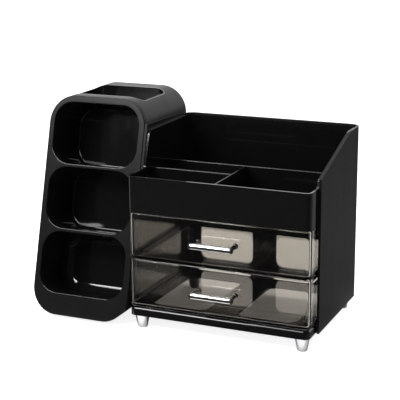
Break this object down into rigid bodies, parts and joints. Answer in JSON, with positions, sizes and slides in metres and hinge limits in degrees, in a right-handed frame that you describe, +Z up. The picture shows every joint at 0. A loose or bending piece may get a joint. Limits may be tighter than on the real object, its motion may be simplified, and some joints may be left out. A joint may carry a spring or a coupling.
{
  "type": "makeup storage box",
  "caption": "Desktop makeup storage box: black cabinet with divided open tray and clear smoked drawers on small feet, beside a slanted tower of open round-cornered cells.",
  "frame": {"origin": "bottom centre of the whole box, on the table", "axes": "+X runs from the tower to the cabinet, the drawers open towards -Y, +Z is up"},
  "size_m": [0.32, 0.1776, 0.234],
  "materials": {
    "satin_black": "satin moulded",
    "gloss_black": "glossy moulded",
    "smoked_clear": "clear smoked",
    "chrome_handle": "polished",
    "silver_foot": "satin",
    "steel_screw": "bright",
    "dark_cap": "satin moulded",
    "black_rubber": "matte"
  },
  "bodies": {
    "cabinet": {"case_shell": "satin_black", "base_plinth": "satin_black", "runner_frame": "satin_black", "top_tray": "gloss_black", "rear_divider": "gloss_black", "left_divider": "gloss_black", "long_divider": "gloss_black", "tower_casing": "satin_black", "tower_front": "gloss_black", "tower_well": "gloss_black", "tower_pads": "black_rubber", "joining_rivets": "dark_cap", "foot_screws": "steel_screw", "front_left_foot": "silver_foot", "front_right_foot": "silver_foot", "rear_left_foot": "silver_foot", "rear_right_foot": "silver_foot"},
    "lower_drawer": {"lower_drawer": "smoked_clear", "lower_handle_bar": "chrome_handle", "lower_handle_caps": "dark_cap", "lower_handle_left_post": "chrome_handle", "lower_handle_right_post": "chrome_handle", "lower_handle_screws": "steel_screw"},
    "upper_drawer": {"upper_drawer": "smoked_clear", "upper_handle_bar": "chrome_handle", "upper_handle_caps": "dark_cap", "upper_handle_left_post": "chrome_handle", "upper_handle_right_post": "chrome_handle", "upper_handle_screws": "steel_screw"}
  },
  "joints": [
    {"name": "lower_drawer_slide", "type": "slide", "parent": "cabinet", "child": "lower_drawer", "axis": [0, -1, 0], "range_m": [0, 0.11]},
    {"name": "upper_drawer_slide", "type": "slide", "parent": "cabinet", "child": "upper_drawer", "axis": [0, -1, 0], "range_m": [0, 0.11]}
  ]
}
